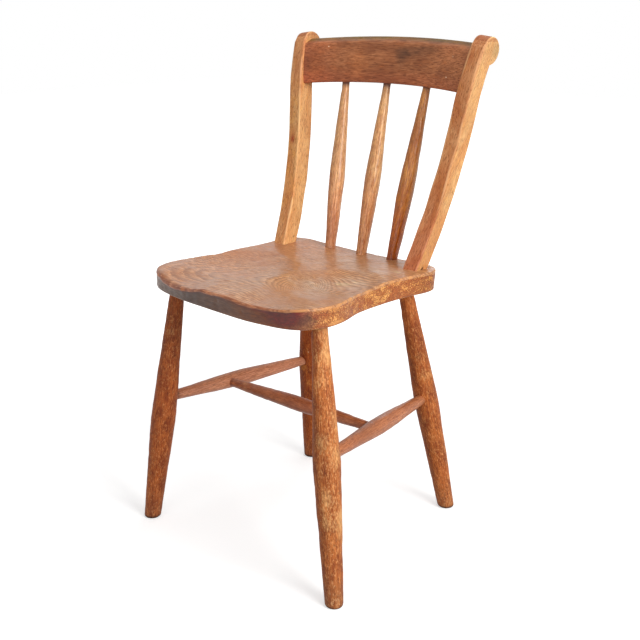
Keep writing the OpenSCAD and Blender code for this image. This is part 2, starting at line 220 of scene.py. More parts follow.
# Worn varnished wood. Light and dark wood follow the rings and the fibres; short dark dashes are
# the pores, pale flecks are lost varnish, and the wear, grime-and-shade, endGrain and chip layers of the
# mesh place bare, dirty or painted-shade, cut and broken wood. The tint layer colours the whole, with painted
# shade and painted sheen on some pieces.
def woodFinish(name, look):
    material = bpy.data.materials.new(name)
    tree = emptyTree(material)
    noise, layer, mask, mix, bump, broken = (partial(part, tree) for part in (noiseOf, layerOf, maskOf, mixOf,
                                                                              bumpOf, brokenBy))
    plus, times = partial(mathOf, tree, "ADD"), partial(mathOf, tree, "MULTIPLY")
    grain, wear, endGrain = layer("grain", "Vector"), layer("wear"), layer("endGrain")
    fibre = noise(grain, look["fibreScale"], 5.0, 0.62)
    mottle = noise(grain, look["mottleScale"], 5.0, 0.62, (3, 5, 1))
    cloud = noise(grain, look["cloudScale"], 3.0, 0.5, (8, 2, 6))
    fine = noise(grain, look["fineScale"], 3.0, 0.6)
    # rings: a slow rise and a quick fall, roughened by the fibres and broken by the mottle
    saw = mathOf(tree, "FRACT", plus(layer("rings"), times(fibre, look["ringRough"])))
    ring = times(mask(saw, *look["ringRise"]), mask(saw, *look["ringFall"]))
    ring = times(ring, times(layer("ringShow"), mask(mottle, *look["ringBreak"])))
    # pores, and flecks of lost varnish, thicker where the wood is rubbed
    dashes = mask(noise(grain, look["dashScale"], 2.0, 0.5, (1, 7, 2)),
                  look["dashFrom"], look["dashFrom"] + look["dashEdge"])
    fleckAt = plus(noise(grain, look["fleckScale"], 6.0, 0.74, (7, 2, 9)), times(wear, look["fleckWear"]))
    flecks = mask(fleckAt, look["fleckFrom"], look["fleckFrom"] + look["fleckEdge"])
    # wood that is cut across: dark and middling specks with pale flecks in patches
    endAt = broken(noise(grain, look["endScale"], 6.0, 0.76, (4, 4, 4)),
                   noise(grain, look["endPatchScale"], 3.0, 0.6, (2, 6, 3)), 0.45)
    endBase = mix(mask(fine, *look["endSpeck"]), look["endDark"], look["endMiddle"])
    endWood = mix(mask(endAt, *look["endFleck"]), endBase, look["endLight"])
    rubbed = mask(broken(wear, mottle, 0.9), *look["wearMask"])
    # the dirt mask lays real dirt and also painted shade, in the dirt colour
    dirt = mask(broken(layer("grimeAndShade"), mottle, 0.7), *look["dirtMask"])
    wood = look["dark"]
    for share, colour in ((mask(fibre, *look["fibreMask"]), look["light"]),
                          (times(ring, look["ringStrength"]), look["ring"]),
                          (mask(cloud, *look["cloudMask"], 0.0, look["cloudStrength"]), look["cloud"]),
                          (mask(mottle, *look["mottleMask"], 0.0, look["mottleStrength"]), look["mottle"]),
                          (times(dashes, look["dashStrength"]), look["dash"]),
                          (times(flecks, look["fleckStrength"]), look["bare"]),
                          (mask(broken(endGrain, mottle, 0.7), *look["endMask"]), endWood),
                          (times(rubbed, look["wearStrength"]), look["bare"])):
        wood = mix(share, wood, colour)
    wood = mix(dirt, mix(1.0, wood, layer("tint", "Vector"), "MULTIPLY"), look["dirt"])
    wood = mix(mask(broken(layer("chip"), fine, 0.8), *look["chipMask"]), wood, look["chip"])
    gloss = plus(mask(mottle, 0.35, 0.7, look["rough"] - 0.05, look["rough"] + 0.07),
                 times(plus(rubbed, plus(dirt, endGrain)), look["dullness"]))
    normal = bump(fibre, look["fibreBump"], 0.0005)
    normal = bump(dashes, -look["dashBump"], 0.0004, Normal=normal)
    normal = bump(ring, -look["ringBump"], 0.0004, Normal=normal)
    normal = bump(mottle, look["mottleBump"], 0.0014, Normal=normal)
    inputs = {"Base Color": wood, "Roughness": gloss, "Normal": normal, "Specular IOR Level": look["specular"]}
    shader = addNode(tree, "ShaderNodeBsdfPrincipled", inputs)
    addNode(tree, "ShaderNodeOutputMaterial", {"Surface": shader.outputs["BSDF"]})
    return material


# colours are red, green and blue from 0 to 255; a mask gives the values at which it starts and is full
beech = dict(
    fibreScale=(620, 620, 48), mottleScale=(150, 150, 60), cloudScale=(30, 30, 12), fineScale=(900, 900, 900),
    fibreMask=(0.3, 0.7), dark=(152, 72, 30), light=(204, 118, 56), ring=(124, 56, 22), ringStrength=0.3,
    ringRough=0.5, ringRise=(0.15, 0.8), ringFall=(1.0, 0.84), ringBreak=(0.3, 0.62, 0.45, 1.0),
    cloud=(128, 58, 26), cloudStrength=0.6, cloudMask=(0.4, 0.68), mottle=(210, 126, 62), mottleStrength=0.45,
    mottleMask=(0.5, 0.72), dash=(84, 36, 14), dashScale=(900, 900, 150), dashFrom=0.54, dashEdge=0.09,
    dashStrength=0.45, dashBump=0.25, fleckScale=(380, 380, 190), fleckFrom=0.585, fleckEdge=0.08,
    fleckWear=0.1, fleckStrength=0.38, bare=(240, 176, 108), wearMask=(0.45, 0.95), wearStrength=0.5,
    endScale=(560, 480, 300), endPatchScale=(70, 110, 60), endSpeck=(0.35, 0.62), endFleck=(0.49, 0.64),
    endMask=(0.25, 0.7), endDark=(110, 60, 34), endMiddle=(140, 82, 46), endLight=(176, 112, 66),
    dirt=(54, 32, 18), dirtMask=(0.3, 1.0, 0.0, 0.9), chip=(244, 222, 190), chipMask=(0.5, 0.7), rough=0.45,
    dullness=0.2, specular=0.2, fibreBump=0.35, ringBump=0.1, mottleBump=0.3)
# how each piece's wood differs from the plain beech
looks = dict(
    seatElm=dict(
        fibreScale=(560, 560, 60), cloudScale=(16, 16, 9), ringRough=1.0, dark=(160, 98, 54),
        light=(228, 172, 118), ring=(124, 70, 34), ringStrength=0.8, cloud=(180, 120, 80),
        mottle=(206, 140, 90), dashScale=(600, 600, 80), dash=(120, 66, 34), dashStrength=0.4, fleckFrom=0.7,
        bare=(212, 148, 88), endDark=(88, 38, 14), endMiddle=(182, 98, 38), endLight=(242, 178, 98),
        dirt=(58, 36, 28), wearStrength=0.75, rough=0.33, specular=0.4, ringBump=0.6, mottleBump=0.25),
    legBeech=dict(
        mottleScale=(330, 330, 170), mottle=(228, 152, 88), mottleStrength=0.7, cloudScale=(90, 90, 36),
        cloud=(120, 52, 22), cloudStrength=0.75, dashScale=(560, 560, 190), dashStrength=0.5,
        wearStrength=0.75, rough=0.58),
    stretcherBeech=dict(
        dark=(152, 84, 48), light=(204, 128, 84), ring=(130, 68, 40), cloud=(146, 80, 50),
        mottle=(208, 134, 88), dash=(96, 48, 26), fleckFrom=0.64, bare=(226, 170, 124), specular=0.3,
        rough=0.38),
    # the spindles' reddish dirt colour mostly paints the painted shade at their tops, under the rail
    spindleBeech=dict(
        dark=(168, 90, 46), light=(238, 168, 108), ring=(158, 86, 42), cloud=(166, 88, 42),
        mottle=(232, 154, 94), dash=(120, 62, 30), fleckFrom=0.7, rough=0.28, specular=0.4, mottleBump=0.2,
        dirt=(84, 34, 20)),
    postBeech=dict(
        dark=(206, 146, 90), light=(244, 198, 136), ring=(190, 118, 62), cloud=(200, 122, 62),
        mottle=(242, 182, 98), dash=(134, 74, 38), dashStrength=0.6, fleckFrom=0.66, bare=(252, 212, 150),
        endDark=(160, 96, 60), endMiddle=(182, 118, 78), endLight=(206, 142, 96), dirt=(72, 42, 24),
        wearStrength=0.85, rough=0.5),
    railBeech=dict(
        fibreScale=(600, 600, 36), cloudScale=(34, 34, 22), dark=(150, 90, 56), light=(196, 128, 86),
        ring=(126, 70, 44), ringStrength=0.25, cloud=(128, 74, 48), mottle=(192, 112, 66), mottleStrength=0.4,
        dashScale=(640, 640, 60), dash=(88, 44, 26), dashStrength=0.5, fleckFrom=0.72, bare=(172, 132, 86),
        dirt=(84, 60, 48), rough=0.5))
woods = {name: woodFinish(name, dict(beech, **look)) for name, look in looks.items()}
print("finishes made")

# what these layers hold on a piece with no chips and no cut ends, whose rings show in full
plainLayers = dict(chip=np.zeros((1, 1)), endGrain=np.zeros((1, 1)), ringShow=np.ones((1, 1)))


# The points of a CAD node, as rows of x, y and z
def nodePoints(node):
    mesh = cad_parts[node].data
    flat = np.empty(len(mesh.vertices) * 3, dtype=np.float32)
    mesh.vertices.foreach_get("co", flat)
    return flat.reshape(-1, 3).astype(float)


# The ends of a long node's centre line: the middles of the points that lie furthest each way
def centreLine(node, standing):
    points = nodePoints(node)
    run = np.linalg.svd(points - points.mean(0), full_matrices=False)[2][0]
    run *= np.sign(run[np.argmax(np.abs(run))])
    for _ in range(3):
        place = points @ run
        first = points[place < place.min() + 0.0005]
        last = points[place > place.max() - 0.0005]
        if standing:
            first = points[points[:, 2] < 0.0001]
        start, end = (first.min(0) + first.max(0)) / 2, (last.min(0) + last.max(0)) / 2
        run = (end - start) / np.linalg.norm(end - start)
    return start, end


# what all the turned pieces share; places and sizes are in metres
turned = dict(
    softSwell=0.0008, uneven=((0.00025, 0.06), (0.00012, 0.015)), dentDepth=0.0008, pithReach=0.07, ringBow=0.35,
    ringSlope=0.02, rings=dict(stretch=0.15, wander=0.0008, spacing=0.0032), jointDirt=0.005, footWear=0.03,
    footDirt=0.035, rubbedLitTowards=(0.94, -0.34, 0.0))


# Double taper: the soft minimum, -b ln(e^(-p/b) + e^(-q/b)), of a rising and a falling taper
def taper(t, size):
    soft = turned["softSwell"]
    peak = size["swell"] + soft * math.log(2)
    rising = size["first"] + (peak - size["first"]) * t / size["swellAt"]
    falling = size["last"] + (peak - size["last"]) * (1 - t) / (1 - size["swellAt"])
    radius = -soft * np.logaddexp(-rising / soft, -falling / soft)
    return np.clip(radius, min(size["first"], size["last"]), size["swell"])


# A turned piece: circles round a centre line with the double taper's radius, made uneven and dented;
# a leg's circles are level at the floor and its foot is rounded off
def turnedPiece(node, size, seed, tone, wearAndShade=0.0, marks=()):
    standing, t = size["standing"], turned
    start, end = centreLine(node, standing)
    length = np.linalg.norm(end - start)
    run = (end - start) / length
    along = np.linspace(0, 1, size["rows"])
    if standing:
        rim = size["rim"] / length
        along = np.concatenate([rim * (1 - np.cos(np.linspace(0, math.pi / 2, 8))),
                                np.linspace(rim, 1, size["rows"])[1:]])
    plain0, plain1 = size["plain"]
    radius = taper(np.clip((along * length - plain0) / (length - plain0 - plain1), 0, 1), size)
    if standing:
        radius = radius - size["rim"] * (1 - np.sqrt(1 - np.clip(1 - along / rim, 0, 1) ** 2))
    turn = np.linspace(0, 2 * math.pi, size["columns"], endpoint=False)
    level = np.array([0, 0, 1.0]) if standing else run
    across = np.array([1.0, 0, 0]) if abs(run[2]) > 0.7 else np.array([0, 0, 1.0])
    side = np.cross(level, run if standing else across)
    side /= np.linalg.norm(side)
    lean = np.cross(side, level)
    stretch = 1 / (level @ run) if standing else 1.0
    circle = np.outer(np.cos(turn), lean * stretch) + np.outer(np.sin(turn), side)
    rings = (start + np.outer(along, end - start))[:, None] + radius[:, None, None] * circle
    reach0, reach1 = along[:, None] * length, (1 - along[:, None]) * length
    inBody = ease(reach0, plain0, plain0 + 0.02) * ease(reach1, plain1, plain1 + 0.02)
    uneven = roughness(rings, seed, *t["uneven"])
    dents = dentField(rings, seed + 2, size["dents"], t["dentDepth"])
    rings = rings + circle * ((uneven * (0.25 + 0.75 * inBody) - dents)[..., None])
    grain = np.stack([radius[:, None] * np.cos(turn), radius[:, None] * np.sin(turn),
                      np.broadcast_to(reach0, rings.shape[:2])], -1)
    draw = np.random.default_rng(seed + 5)
    heading = draw.uniform(0, 2 * math.pi)
    tree = dict(t["rings"], pith=(t["pithReach"] * math.cos(heading), t["pithReach"] * math.sin(heading)),
                middle=draw.uniform(0, length), bow=draw.uniform(-t["ringBow"], t["ringBow"]),
                slope=draw.uniform(-t["ringSlope"], t["ringSlope"]))
    wear = 0.12 + 0.2 * waves(rings, seed + 3, 0.1) + 0.14 * waves(rings, seed + 7, 0.03) + 180 * dents
    grimeAndShade = 0.16 * waves(rings, seed + 4, 0.07) - 0.02
    grimeAndShade = grimeAndShade + 0.55 * bell(reach1 - size["hidden"][1], t["jointDirt"])
    # painted shade: darker towards the top end, where the piece sits under the seat or the rail
    grimeAndShade = grimeAndShade + size["topShade"] * bell(reach1, 0.05)
    if standing:
        # one side of a leg, towards the lit right, is rubbed pale, which is wear and partly a painted highlight;
        # the side turned away gets painted shade; and the foot is scuffed and dirty
        rubbedLitSide = ease(circle @ np.array(t["rubbedLitTowards"]), -0.5, 0.9)
        wear = wear + wearAndShade * rubbedLitSide * ease(reach0, -0.1, 0.22) + 0.25 * bell(reach0, t["footWear"])
        grimeAndShade = grimeAndShade + 0.3 * bell(reach0, t["footDirt"]) + 0.8 * bell(reach0, t["jointDirt"])
        tint = tintOf(
            (1.0, tone), (bell(reach0, 0.05), (0.02, 0.2, 0.6)),
            # painted shade on the side turned away from the light
            (wearAndShade * (1 - rubbedLitSide), (-0.5, -0.8, -1.0)),
            (waves(rings, seed + 8, 0.12), (0.07, 0.06, 0.05)))
    else:
        grimeAndShade = grimeAndShade + 0.5 * bell(reach0 - size["hidden"][0], t["jointDirt"])
        tint = tintOf(
            (1.0, tone), (waves(rings, seed + 8, 0.12), (0.06, 0.05, 0.04)),
            (ease(-reach0, -0.17, -0.06), size["lowTint"]))
    marked = dict(chip=np.zeros(rings.shape[:2]), grimeAndShade=grimeAndShade)
    for place, heading, width, layer, amount in marks:
        outward = np.array([math.cos(heading), math.sin(heading), 0])
        spot = start + (end - start) * place + size["swell"] * outward
        marked[layer] = marked[layer] + markOn(rings, spot, width, amount)
    layers = dict(plainLayers, grain=grain + 0.37 * seed, rings=ringField(grain, tree, seed + 6), wear=wear,
                  tint=tint, **marked)
    fitPiece(closedSkin(node + "_wood", rings, layers, woods[size["wood"]]), node)


# radii at the first end, the swell and the last; plain: untapered length at each end; hidden: in a socket
legSize = dict(
    first=0.014, swell=0.0203, last=0.0112, plain=(0.0, 0.021), hidden=(0.0, 0.016), standing=True,
    rim=0.0045, rows=210, columns=72, dents=24, topShade=0.25, wood="legBeech", slot="leg_wood")
sideSize = dict(
    first=0.0085, swell=0.014, last=0.0085, plain=(0.0183, 0.0183), hidden=(0.0165, 0.0165), standing=False,
    rows=150, columns=56, dents=10, topShade=0.0, lowTint=(0, 0, 0), swellAt=0.5, wood="stretcherBeech",
    slot="stretcher_wood")
crossSize = dict(
    sideSize, first=0.0075, swell=0.012, last=0.0075, plain=(0.013, 0.013), hidden=(0.011, 0.011))
spindleSize = dict(
    first=0.0092, swell=0.0135, last=0.0063, plain=(0.022, 0.022), hidden=(0.017, 0.017), standing=False,
    rows=150, columns=56, dents=8, topShade=0.55, swellAt=0.42, lowTint=(-0.16, -0.42, -0.5),
    wood="spindleBeech", slot="spindle_wood")
# each piece: its size, seed and tone, and for a leg how rubbed and painted-shaded its sides are and its marks,
# which are place along it, heading, width, layer and amount
turnedPieces = dict(
    front_leg_left=(
        dict(legSize, swellAt=0.46), 11, (-0.14, -0.2, -0.12), 0.12,
        ((0.285, -1.4, 0.0018, "chip", 1.0), (0.46, -1.1, 0.009, "grimeAndShade", 0.35))),
    front_leg_right=(
        dict(legSize, swellAt=0.52), 21, (0.02, 0.1, 0.25), 0.42,
        ((0.56, -0.9, 0.014, "grimeAndShade", 0.45), (0.36, -1.0, 0.006, "grimeAndShade", 0.4),
         (0.22, -0.6, 0.008, "grimeAndShade", 0.45))),
    back_leg_left=(
        dict(legSize, swellAt=0.49), 31, (-0.2, -0.38, -0.56), 0.0, ((0.55, -1.0, 0.003, "chip", 0.7),)),
    back_leg_right=(
        dict(legSize, swellAt=0.49), 41, (-0.04, -0.03, 0.0), 0.12, ((0.42, -0.9, 0.01, "grimeAndShade", 0.35),)),
    side_stretcher_left=(sideSize, 61, (0.3, 0.55, 1.0)),
    side_stretcher_right=(sideSize, 71, (0.04, 0.1, 0.08)),
    cross_stretcher=(crossSize, 91, (-0.05, -0.12, -0.15)),
    spindle_left=(spindleSize, 111, (0.18, 0.55, 0.86)),
    spindle_middle=(spindleSize, 121, (0.2, 0.6, 0.82)),
    # the right spindle's darker tone is painted shade, the shadow of the right post
    spindle_right=(spindleSize, 131, (-0.1, -0.13, -0.46)))
for node, facts in turnedPieces.items():
    turnedPiece(node, *facts)
print("legs, stretchers and spindles made")


# a place with a width and an amount is a bell; dents are their number and depth
seatShape = dict(
    dish=0.006, dishHalf=0.1256, scoop=0.0095, scoopRadius=0.48, scoopX=0.0796, scoopY=0.1504,
    troughs=((-0.090, 0.0080, 0.26), (0.088, 0.0046, 0.42)), troughRun=0.172, softness=0.0007,
    topRound=0.0032, frontLeftRound=((-0.13, -0.215), 0.05, 0.0055), underRound=0.0018, inset=0.0004,
    sag=0.0045, frontSag=0.0022, flare=0.004, rimLift=0.0015, rimNicks=0.0007, topDents=(40, 0.0010),
    sideDents=(30, 0.0012), bulges=(((-0.17, 0.085), 0.055, 0.0038), ((-0.175, -0.09), 0.05, 0.003)),
    rearTuck=((0.168, 0.125), 0.03, 0.0022), outlinePasses=12, rimCrowding=1.8, columns=480, topRings=120,
    sideRings=14, underRings=20, arrisUneven=((0.0004, 0.05), (0.0003, 0.012)),
    topUneven=((0.0003, 0.05), (0.0001, 0.014)), sideUneven=((0.0003, 0.05), (0.00015, 0.012)))
seatMarks = dict(
    # the first patches are painted sheen, whitish painted reflections on the top
    paintedSheenPatches=(((0.106, -0.034), 0.03, 1.9), ((0.106, 0.042), 0.026, 1.3), ((0.066, -0.062), 0.026, 1.1),
           ((0.1, -0.115), 0.03, 0.8), ((0.135, 0.045), 0.02, 1.0), ((0.0, 0.075), 0.03, 0.4)),
    cornerWear=((0.173, -0.147), 0.026, 1.1), frontWear=((0.0, seatLow[1]), 0.035, 0.35),
    postDirt=(((-0.141, 0.087), 0.024, 0.5), ((0.141, 0.087), 0.024, 0.5)),
    smudge=((0.166, -0.186, 0.434), 0.02, 0.75), chip=((0.1607, -0.1705, 0.4445), 0.0035, 1.5),
    orangeFront=((-0.02, -0.13), 0.08), darkCorner=((0.155, -0.2), 0.045))
seatRings = dict(
    middle=(0.060, -0.085), turn=math.radians(18), near=0.06, reach=0.03, far=0.2, wander=0.0035, spacing=0.0052)


# The seat's rings: ovals about one middle, tight along their length near it and long further out, or
# hypot(v, near * tanh(u / reach) + far * u), bent by waves and by the depth of the hollows
def seatRingField(points):
    r = seatRings
    x, y = points[..., 0] - r["middle"][0], points[..., 1] - r["middle"][1]
    u, v = x * math.cos(r["turn"]) + y * math.sin(r["turn"]), y * math.cos(r["turn"]) - x * math.sin(r["turn"])
    bend = r["wander"] * (waves(points, 315, 0.09) + 0.35 * waves(points, 316, 0.03))
    field = np.hypot(v + bend, r["near"] * np.tanh(u / r["reach"]) + r["far"] * u)
    return (field + 0.5 * (points[..., 2] - seatTop)) / r["spacing"]


# How far the seat's top lies below its rim: the fourth-power sum of a dish that runs out towards the
# front, two round scoops and two troughs at the front edge, with a soft start at the rim
def seatHollow(x, fromFront, depth):
    s = seatShape
    dishRadius = (s["dishHalf"] ** 2 + s["dish"] ** 2) / (2 * s["dish"])
    parts = [s["dish"] * (1 - (depth - fromFront) / (0.9 * depth)) - x ** 2 / (2 * dishRadius)]
    for hand, (troughX, trough, troughRadius) in zip((-1, 1), s["troughs"]):
        reach = (x - hand * s["scoopX"]) ** 2 + (fromFront - s["scoopY"]) ** 2
        parts.append(s["scoop"] - reach / (2 * s["scoopRadius"]))
        parts.append(trough * (1 - fromFront / s["troughRun"]) - (x - troughX) ** 2 / (2 * troughRadius))
    soft = [s["softness"] * np.logaddexp(0, part / s["softness"]) for part in parts]
    return sum(part ** 4 for part in soft) ** 0.25


# The seat's outline: for each direction, the furthest crossing of a ray with the underside's edges
def seatOutline(turn):
    points = nodePoints("seat")
    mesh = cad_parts["seat"].data
    pairs = np.empty(len(mesh.edges) * 2, dtype=np.int32)
    mesh.edges.foreach_get("vertices", pairs)
    ends = points[pairs.reshape(-1, 2)]
    ends = ends[(ends[..., 2] < seatUnder + 0.0002).all(1)][..., :2]
    middle = (ends.min((0, 1)) + ends.max((0, 1))) / 2
    a, b = ends[:, 0] - middle, ends[:, 1] - middle
    dx, dy = np.cos(turn)[:, None], np.sin(turn)[:, None]
    step = b - a
    crossing = dx * step[:, 1] - dy * step[:, 0]
    crossing = np.where(np.abs(crossing) < 1e-9, 1e-9, crossing)
    t = (dy * a[:, 0] - dx * a[:, 1]) / crossing
    reach = dx * (a[:, 0] + t * step[:, 0]) + dy * (a[:, 1] + t * step[:, 1])
    return middle, np.where((t > -0.001) & (t < 1.001), reach, 0).max(1)


# The seat: rings about the middle of its outline, from there to the rim, where the top rounds off by
# r - sqrt(r^2 - d^2), down the side, round the lower arris and back in underneath
def makeSeat():
    s = seatShape
    turn = np.linspace(-math.pi, math.pi, s["columns"], endpoint=False)
    middle, radius = seatOutline(turn)
    for _ in range(s["outlinePasses"]):
        radius = (np.roll(radius, 1) + 2 * radius + np.roll(radius, -1)) / 4
    slope = (np.roll(radius, -1) - np.roll(radius, 1)) / (2 * (turn[1] - turn[0]))
    square = radius / np.hypot(radius, slope)
    direction = np.stack([np.cos(turn), np.sin(turn)], -1)
    tangent = direction * slope[:, None] + np.stack([-np.sin(turn), np.cos(turn)], -1) * radius[:, None]
    outward = np.stack([tangent[:, 1], -tangent[:, 0]], -1) / np.linalg.norm(tangent, axis=1)[:, None]
    edge = middle + direction * radius[:, None]
    edge3 = np.concatenate([edge, np.full((len(turn), 1), seatTop)], 1)
    depth = seatHigh[1] - seatLow[1]
    topRound = s["topRound"] + markOn(edge, *s["frontLeftRound"]) + roughness(edge3, 301, *s["arrisUneven"])
    underRound = s["underRound"] + roughness(edge3, 303, s["sideUneven"][0])
    # the plank is a little thicker, and its edge slopes outwards, at the right and towards the rear
    atRight = ease(edge[:, 0], 0.02, 0.14)
    frontSag = s["frontSag"] * ease(edge[:, 0], -0.03, 0.09) * ease(-edge[:, 1], -0.05, 0.1)
    underZ = seatUnder - np.maximum(s["sag"] * atRight * ease(edge[:, 1], -0.17, 0.0), frontSag)
    for bulge in s["bulges"]:
        edge = edge + outward * markOn(edge, *bulge)[:, None]
    flare = s["flare"] * atRight * bell(edge[:, 1] + 0.045, 0.06) - markOn(edge, *s["rearTuck"])
    # top, from the middle outwards
    share = 1 - (1 - np.linspace(0.004, 1, s["topRings"])) ** s["rimCrowding"]
    inward = (1 - share)[:, None] * radius * square
    xy = middle + (edge - middle) * share[:, None, None]
    rise = np.clip(1 - inward / topRound, 0, 1)
    top3 = np.concatenate([xy, np.full(xy.shape[:2] + (1,), seatTop)], -1)
    height = seatTop - seatHollow(xy[..., 0], xy[..., 1] - seatLow[1], depth)
    height = height - topRound * (1 - np.sqrt(1 - rise ** 2)) - s["inset"]
    height = height + roughness(top3, 304, *s["topUneven"]) - dentField(top3, 306, *s["topDents"])
    height = height + s["rimLift"] * bell(xy[..., 0] + 0.175, 0.03) * bell(xy[..., 1], 0.13)
    height = height - s["rimNicks"] * bell(inward, 0.004) * ease(waves(top3, 307, 0.008), 0.7, 1.6)
    top = np.concatenate([xy, height[..., None]], -1)
    # side, between the two arrises
    down = np.linspace(0, 1, s["sideRings"] + 2)[1:-1]
    lower = underZ + underRound
    sideZ = top[-1, :, 2] + (lower - top[-1, :, 2]) * down[:, None]
    side = np.concatenate([np.broadcast_to(edge, (len(down),) + edge.shape), sideZ[..., None]], -1)
    push = roughness(side, 308, *s["sideUneven"]) - s["inset"]
    push = push + flare * ease(down, 0, 1)[:, None] - dentField(side, 310, *s["sideDents"])
    side[..., :2] += outward * push[..., None]
    # lower arris and underside
    bend = np.linspace(0, math.pi / 2, 7)
    roundIn = underRound * (1 - np.cos(bend))[:, None]
    arris = np.concatenate([edge + outward * (flare - roundIn - s["inset"])[..., None],
                            (lower - underRound * np.sin(bend)[:, None])[..., None]], -1)
    inner = np.linspace(1, 0.01, s["underRings"])[1:]
    under = middle + (arris[-1, :, :2] - middle) * inner[:, None, None]
    underHeight = seatUnder + (underZ - seatUnder) * ease(inner, 0.55, 0.9)[:, None]
    under = np.concatenate([under, underHeight[..., None]], -1)
    rings = np.concatenate([top, side, arris, under])[::-1]
    x, y, z = rings[..., 0], rings[..., 1], rings[..., 2]
    grain = np.stack([y, z, x], -1)

    # A layer from its values on the top, the side, the lower arris and the underside
    def layerFrom(*values):
        return np.concatenate([np.broadcast_to(value, part.shape[:2])
                               for value, part in zip(values, (top, side, arris, under))])[::-1]

    onTop = layerFrom(1, 0, 0, 0)
    onSide = layerFrom(0, 1, np.linspace(0.9, 0.1, len(arris))[:, None], 0)
    drop = np.linspace(0, 1, len(side))[:, None]
    rim = layerFrom(bell(inward, 0.0030), (0.9 - 0.9 * drop) ** (9 - 5.5 * ease(edge[:, 0], 0.1, 0.16)), 0, 0)
    lowRim = layerFrom(0, drop ** 3, bell(bend - 0.6, 0.5)[:, None], 0)
    endGrain = np.abs(outward[:, 0]) ** 3 * onSide
    longSide = onSide * (1 - endGrain)
    marks = seatMarks
    rimWear = 0.15 + 0.55 * ease(x, 0.1, 0.16) * (1 - 0.7 * ease(y, -0.02, 0.08))
    wear = 0.1 * waves(rings, 311, 0.05) + rim * (rimWear + 0.4 * waves(rings, 312, 0.014))
    wear = wear + lowRim * markOn(rings, *marks["cornerWear"]) + onTop * markOn(rings, *marks["frontWear"])
    grimeAndShade = (0.12 + 0.14 * onSide) * waves(rings, 313, 0.05) + longSide * (0.2 + 0.45 * ease(x, 0.15, -0.12))
    smudge = markOn(rings, *marks["smudge"]) * (0.7 + 0.45 * waves(rings, 319, 0.02))
    grimeAndShade = grimeAndShade + onSide * smudge - 0.45 * rim - 0.1 * onTop
    grimeAndShade = grimeAndShade + onTop * sum(markOn(rings, *dirt) for dirt in marks["postDirt"])
    # painted sheen: whitish patches of painted reflection on the top, in streaks along the grain
    paintedSheen = onTop * sum(markOn(rings, *place) for place in marks["paintedSheenPatches"])
    paintedSheen = paintedSheen * np.clip(0.75 + 0.3 * waves(rings * np.array([1.0, 2.5, 1]), 317, 0.03)
                          + 0.45 * waves(rings * np.array([0.6, 2.0, 1]), 318, 0.012), 0, 1.8)
    tint = tintOf(
        (onTop * (1 - ease(x, -0.1, 0.06)), (0.03, -0.02, 0.04)),
        (onTop * markOn(rings, *marks["orangeFront"]), (0.0, 0.07, 0.14)),
        (onTop * bell(y - seatLow[1], 0.03), (-0.04, -0.05, 0.02)),
        # the long sides, the front most, are much darker: partly dirt and dark wood, partly painted shade under
        # the rim
        (longSide, (-0.82, -0.90, -0.94)),
        (onSide * endGrain * ease(y, 0.0, 0.12), (-0.23, -0.34, -0.62)),
        (rim * (1 - ease(x, 0.1, 0.16)), (-0.12, -0.3, -0.34)),
        (longSide * ease(-x, -0.1, 0.06), (0.03, 0.09, 0.15)),
        (longSide * bell(x - 0.12, 0.05), (0.14, 0.08, 0.02)),
        (onSide * (1 - 0.8 * lowRim) * markOn(rings, *marks["darkCorner"]), (-0.1, -0.2, -0.14)),
        # painted sheen whitens the top in patches where the varnish would reflect light
        (paintedSheen, (0.12, 0.42, 1.0)), (waves(rings, 314, 0.11), (0.05, 0.05, 0.05)))
    layers = dict(grain=grain + 1.3, rings=seatRingField(rings), wear=wear, grimeAndShade=grimeAndShade, tint=tint,
                  chip=markOn(rings, *marks["chip"]), endGrain=endGrain, ringShow=0.3 + 0.7 * onTop)
    fitPiece(closedSkin("seat_plank", rings, layers, woods["seatElm"]), "seat")


makeSeat()
print("seat made")


postLow, postHigh = (np.array(corner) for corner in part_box("back_post_right"))
postShape = dict(
    width=0.026, depth=0.033, splay=math.radians(7), lean=math.radians(27), waist=math.radians(9.3),
    lowerArc=2.2, straight=0.048, upperArc=1.26, headRadius=0.0214, headSet=0.025, headRise=0.006,
    shoulder=math.radians(130), arris=0.0026, uneven=0.0003, earSet=0.012, earWidth=0.014, shankRows=170,
    headRows=60, acrossCount=26, bandCount=9)
postRings = dict(
    pith=(0.02, -0.09), middle=0.2, bow=0.15, slope=0.0, stretch=0.15, wander=0.0009, spacing=0.0035)
postLength = (postHigh[2] - seatTop) / math.cos(postShape["splay"])
headAt = postLength - postShape["headRadius"] / math.cos(postShape["splay"])


# How far the post's front has moved back at a height s: an arc that straightens, a short straight and
# an arc that leans back again
def postRun(s):
    p = postShape
    lowerR, upperR = p["lowerArc"] * postLength, p["upperArc"] * postLength
    lowerEnd = lowerR * (math.sin(p["lean"]) - math.sin(p["waist"]))
    straightEnd = lowerEnd + p["straight"] * postLength
    lowerRun = lowerR * (math.cos(p["waist"]) - math.cos(p["lean"]))
    straightRun = lowerRun + (straightEnd - lowerEnd) * math.tan(p["waist"])
    lowTurn = np.arcsin(math.sin(p["lean"]) - np.minimum(s, lowerEnd) / lowerR)
    low = lowerR * (np.cos(lowTurn) - math.cos(p["lean"]))
    middle = lowerRun + (s - lowerEnd) * math.tan(p["waist"])
    highTurn = np.arcsin(math.sin(p["waist"]) + np.maximum(s - straightEnd, 0) / upperR)
    high = straightRun + upperR * (math.cos(p["waist"]) - np.cos(highTurn))
    return np.where(s < lowerEnd, low, np.where(s < straightEnd, middle, high))


